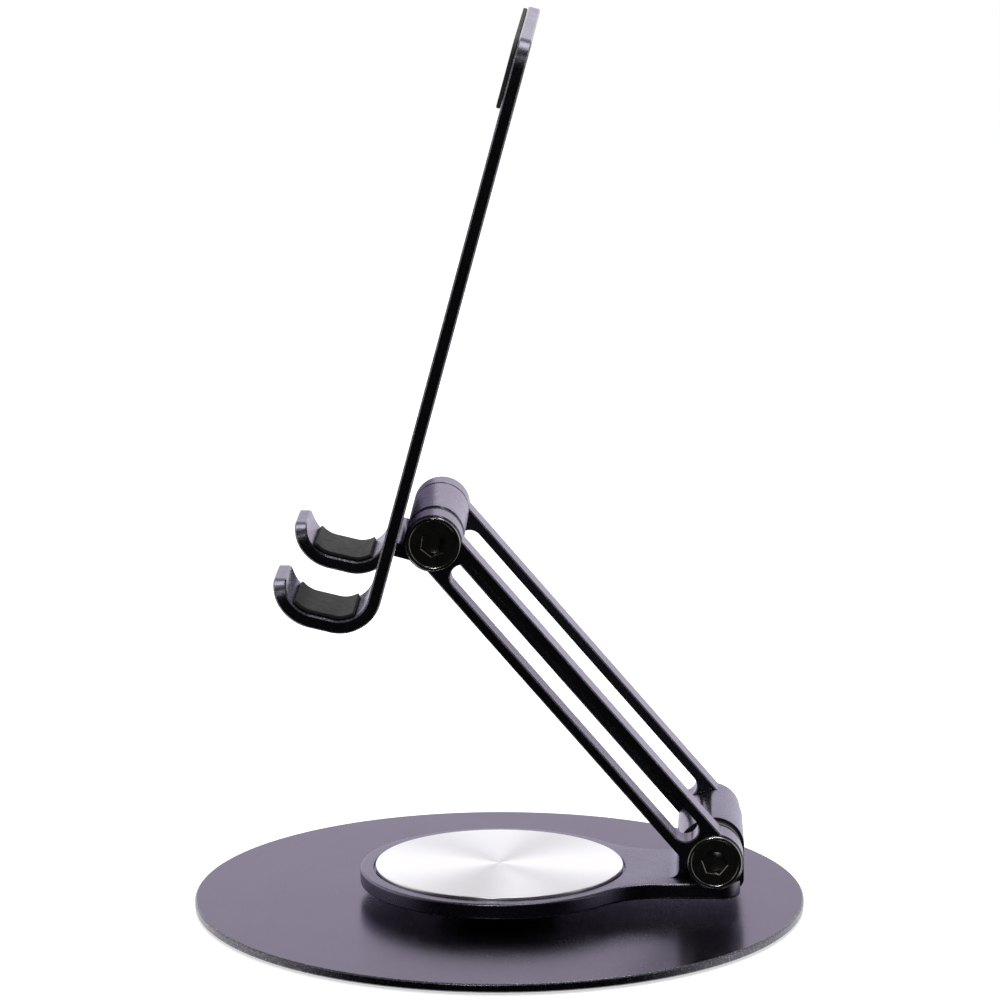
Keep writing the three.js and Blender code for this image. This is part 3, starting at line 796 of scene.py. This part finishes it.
def on_sheet(s, depth):
    """Where a point of the bent sheet is: s along it from the plate's top, depth in from
    its back face."""
    if s <= STRAIGHT:
        return PLATE_BACK - depth, PLATE_TOP - s
    if s <= BEND_END:
        turn = (s - STRAIGHT) / BEND_MIDDLE_R
        r = BEND_R - depth
        return BEND[0] + r * math.cos(turn), BEND[1] - r * math.sin(turn)
    if s <= FLOOR_END:
        share = (s - BEND_END) / (FLOOR_END - BEND_END)
        a, b = BEND[1] - BEND_R + depth, LIP[1] - LIP_R + depth
        return BEND[0] + (LIP[0] - BEND[0]) * share, a + (b - a) * share
    turn = PI / 2 + (s - FLOOR_END) / LIP_MIDDLE_R
    r = LIP_R - depth
    return LIP[0] + r * math.cos(turn), LIP[1] - r * math.sin(turn)


def bent(bm, first, last, every=0.5):
    """Bends a flat sheet drawn in (y, s, depth) to the holder's side view."""
    count = round((last - first) / every)
    for i in range(count + 1):
        s = first + (last - first) * i / count
        bmesh.ops.bisect_plane(
            bm,
            geom=bm.verts[:] + bm.edges[:] + bm.faces[:],
            plane_co=(0, s, 0),
            plane_no=(0, 1, 0),
            dist=1e-5,
        )
    for v in bm.verts:
        y, s, depth = v.co
        x, z = on_sheet(s, depth)
        v.co = (x, y, z)
    bmesh.ops.recalc_face_normals(bm, faces=bm.faces)
    return bm


def sheet_plan():
    """The holder's sheet laid flat, in (y, s): a plate with two hooks at its end."""
    half, corner, lip, notch = PLATE_HALF_W, PLATE_CORNER_R, LIP_CORNER_R, CUTOUT_CORNER_R
    inner = half - HOOK_W
    cut = PLATE_TOP - CUTOUT_TOP
    loop = arc(corner - half, corner, corner, PI, 1.5 * PI, 20)
    loop += arc(half - corner, corner, corner, -PI / 2, 0, 20)
    loop += arc(half - lip, SHEET_L - lip, lip, 0, PI / 2, 20)
    loop += arc(inner + lip, SHEET_L - lip, lip, PI / 2, PI, 20)
    loop += arc(inner - notch, cut + notch, notch, 0, -PI / 2, 14)
    loop += arc(notch - inner, cut + notch, notch, -PI / 2, -PI, 14)
    loop += arc(-inner - lip, SHEET_L - lip, lip, 0, PI / 2, 20)
    loop += arc(lip - half, SHEET_L - lip, lip, PI / 2, PI, 20)
    return loop


def make_plate():
    flat = slab([sheet_plan()], 0, PLATE_T, edge=0.35, rim=True)
    plate = bent(flat, STRAIGHT, SHEET_L)
    for y in PLATE_SCREW_Y:
        hole = sunk_hole(0, PLATE_T, shank=1.08, head=1.98, straight=0.2, cone=1.1, segments=48)
        hole.transform(Matrix.Translation((PLATE_FRONT, y, PLATE_SCREW_Z)) @ Z_TO_X)
        plate = combined(plate, hole)
    piece("holder_sheet", plate, "holder", ["holder_plate"], "anodised", HOLDER_FRAME, sharp=32)
    for i, y in enumerate(PLATE_SCREW_Y, 1):
        screw = small_screw(shank=1.0, head=1.9, length=7.4, flats=1.3, depth=0.7)
        screw.transform(Matrix.Translation((PLATE_FRONT + 0.05, y, PLATE_SCREW_Z)) @ Z_TO_X)
        node = f"plate_screw_{i}"
        piece(f"tongue_screw_{i}", screw, "holder", [node], "black_nickel", HOLDER_FRAME)


def make_tilt_barrel():
    """The barrel with its neck, and the foot of the tongue against the plate."""
    edge = 0.35
    near, far = KNUCKLE_NEAR["upper"], KNUCKLE_FAR
    bore = circle(BUSH_BORE, 64, hole=True)
    barrel = sideways(slab([circle(EYE_R, 96), bore], near, far, edge, rim=True))
    plan = [
        (TONGUE_ROOT, near + edge),
        (NECK_BACK, near + edge),
        (NECK_BACK, far - edge),
        (TONGUE_ROOT, far - edge),
    ]
    slope_x, slope_z = FOOT_SLOPE
    side = [
        (TONGUE_ROOT, TONGUE_LOW),
        (FOOT_BACK, TONGUE_LOW),
        (FOOT_BACK, slope_z),
        (slope_x, TONGUE_HIGH),
        (TONGUE_ROOT, TONGUE_HIGH),
    ]
    neck = slab([plan], TONGUE_LOW, TONGUE_HIGH, edge=0.2, steps=2)
    foot = sideways(slab([side], -FOOT_HALF_W, FOOT_HALF_W, edge=0.15, steps=2))
    knuckle = combined(combined(barrel, neck, "UNION"), foot, "UNION")
    piece("tilt_barrel", knuckle, "holder", ["tilt_knuckle"], "anodised", HOLDER_FRAME)


def make_hook_pads():
    """Silicone pads, one along the inside of each hook."""
    margin, lift, thick, corner = 1.4, 0.1, 0.8, 0.5
    up_bend, up_lip = 0.8, 0.63  # radians: how far a pad runs up each end of its hook
    inside = 0.01  # keeps the first and last cut off the pad's ends
    first = BEND_END - up_bend * BEND_MIDDLE_R
    last = FLOOR_END + up_lip * LIP_MIDDLE_R
    base = PLATE_T + lift
    for side, start in (("near", -PLATE_HALF_W), ("far", PLATE_HALF_W - HOOK_W)):
        low, high = start + margin, start + HOOK_W - margin
        loop = arc(low + corner, first + corner, corner, PI, 1.5 * PI, 6)
        loop += arc(high - corner, first + corner, corner, -PI / 2, 0, 6)
        loop += arc(high - corner, last - corner, corner, 0, PI / 2, 6)
        loop += arc(low + corner, last - corner, corner, PI / 2, PI, 6)
        flat = slab([loop], base, base + thick, edge=0.14, steps=3)
        bm = bent(flat, first + inside, last - inside, every=0.4)
        name, node = f"{side}_hook_cushion", f"{side}_hook_pad"
        pad = piece(name, bm, "holder", [node], "silicone", HOLDER_FRAME)


def make_top_pad():
    """The silicone strip across the top of the plate's front."""
    rim, low, bottom_r, thick = 0.6, 99.3, 2.0, 0.95
    half, top, top_r = PLATE_HALF_W - rim, PLATE_TOP - rim, PLATE_CORNER_R - rim
    loop = arc(half - top_r, top - top_r, top_r, 0, PI / 2, 16)
    loop += arc(top_r - half, top - top_r, top_r, PI / 2, PI, 16)
    loop += arc(bottom_r - half, low + bottom_r, bottom_r, PI, 1.5 * PI, 8)
    loop += arc(half - bottom_r, low + bottom_r, bottom_r, 1.5 * PI, 2 * PI, 8)
    bm = slab([loop], 0, thick, edge=0.28, steps=4)
    front = PLATE_FRONT - 0.05
    bm.transform(Matrix(((0, 0, -1, front), (1, 0, 0, 0), (0, 1, 0, 0), (0, 0, 0, 1))))
    pad = piece("top_rest_pad", bm, "holder", ["top_pad"], "silicone", HOLDER_FRAME)


def keep_hidden_parts():
    """The bearing parts inside the swivel and the bushes are the CAD solids themselves."""
    slots = {
        "pivot_flange": "zinc_steel",
        "pivot_nut": "zinc_steel",
        "wave_washer": "spring_steel",
        "lower_thrust_washer": "acetal",
        "upper_thrust_washer": "acetal",
        "lower_bush": "acetal",
        "upper_bush": "acetal",
        "cap_tape": "tape",
    }
    for node, slot in slots.items():
        obj = frame["nodes"][node]
        obj.data.materials.clear()
        obj.data.materials.append(MATERIALS[slot])
        bevel = obj.modifiers.new("soft edges", "BEVEL")
        bevel.width = 0.06 * MM
        bevel.segments = 2
        bevel.angle_limit = math.radians(40)
        add_weighted_normals(obj)


make_base()
make_bracket()
make_cap()
make_hinges()
make_arm()
make_plate()
make_tilt_barrel()
make_hook_pads()
make_top_pad()
keep_hidden_parts()


# ---- studio -----------------------------------------------------------------------------

WHITE = (1, 1, 1, 1)


def make_floor():
    bm = bmesh.new()
    bmesh.ops.create_circle(bm, cap_ends=True, segments=96, radius=1.5)
    floor = as_object(bm, "floor")
    m = Material("floor", (0.92, 0.92, 0.92), 0.9)
    m.set("Specular IOR Level", 0.0)
    m.set("Emission Color", WHITE)
    m.set("Emission Strength", 0.6)
    floor.data.materials.append(m.data)
    floor.visible_glossy = False


def area_light(name, place, target, size, power):
    light = bpy.data.lights.new(name, "AREA")
    light.shape = "RECTANGLE"
    light.size, light.size_y = size
    light.energy = power
    obj = bpy.data.objects.new(name, light)
    bpy.context.scene.collection.objects.link(obj)
    obj.location = place
    obj.rotation_mode = "QUATERNION"
    obj.rotation_quaternion = (Vector(target) - Vector(place)).to_track_quat("-Z", "Y")


def make_world():
    """White all round, dark on the side where the room is unlit and dimmer overhead. The
    camera sees plain white."""
    unlit_side = (0, -1, -0.05)
    lit_tint = (1, 0.99, 1, 1)
    world = bpy.data.worlds.new("studio")
    bpy.context.scene.world = world
    world.use_nodes = True
    nodes, links = world.node_tree.nodes, world.node_tree.links

    def smooth_ramp(value, *span):
        node = nodes.new("ShaderNodeMapRange")
        node.interpolation_type = "SMOOTHSTEP"
        links.new(value, node.inputs["Value"])
        for key, number in zip(MAP_SOCKETS, span):
            node.inputs[key].default_value = number
        return node.outputs["Result"]

    direction = nodes.new("ShaderNodeTexCoord").outputs["Generated"]
    facing = nodes.new("ShaderNodeVectorMath")
    facing.operation = "DOT_PRODUCT"
    facing.inputs[1].default_value = unlit_side
    links.new(direction, facing.inputs[0])
    height = nodes.new("ShaderNodeSeparateXYZ")
    links.new(direction, height.inputs[0])
    strength = nodes.new("ShaderNodeMath")
    strength.operation = "MULTIPLY"
    links.new(smooth_ramp(facing.outputs["Value"], -0.3, 0.6, 1.22, 0.012), strength.inputs[0])
    links.new(smooth_ramp(height.outputs["Z"], 0.35, 0.8, 1.0, 0.4), strength.inputs[1])

    lit = nodes["Background"]
    lit.inputs["Color"].default_value = lit_tint
    links.new(strength.outputs[0], lit.inputs["Strength"])
    seen = nodes.new("ShaderNodeBackground")
    seen.inputs["Color"].default_value = WHITE
    seen.inputs["Strength"].default_value = 1.0
    mix = nodes.new("ShaderNodeMixShader")
    path = nodes.new("ShaderNodeLightPath")
    links.new(path.outputs["Is Camera Ray"], mix.inputs["Fac"])
    links.new(lit.outputs[0], mix.inputs[1])
    links.new(seen.outputs[0], mix.inputs[2])
    links.new(mix.outputs[0], nodes["World Output"].inputs["Surface"])


def make_camera():
    """A long lens to the stand's side and a little above it, as in the photograph."""
    place = (0.0328812, -0.9980251, 0.2963762)
    yaw, pitch, roll = -0.0327, 0.1992, 0.0012
    ahead = Vector(
        (math.sin(yaw) * math.cos(pitch), math.cos(yaw) * math.cos(pitch), -math.sin(pitch))
    )
    level = Vector((math.cos(yaw), -math.sin(yaw), 0))
    down = ahead.cross(level)
    right = level * math.cos(roll) + down * math.sin(roll)
    up = level * math.sin(roll) - down * math.cos(roll)
    data = bpy.data.cameras.new("camera")
    data.lens = 162
    data.sensor_width = 36
    data.clip_end = 100
    camera = bpy.data.objects.new("camera", data)
    bpy.context.scene.collection.objects.link(camera)
    turn = Matrix((right, up, -ahead)).transposed()
    camera.matrix_world = Matrix.Translation(place) @ turn.to_4x4()
    bpy.context.scene.camera = camera


make_floor()
make_world()
area_light("key", (-0.12, -0.75, 0.85), target=(0, 0, 0.07), size=(0.24, 0.18), power=2.6)
area_light("top", (0.1, 0.25, 1.3), target=(0, 0, 0.05), size=(0.9, 0.7), power=9)
make_camera()
bpy.context.scene.view_settings.view_transform = "Standard"
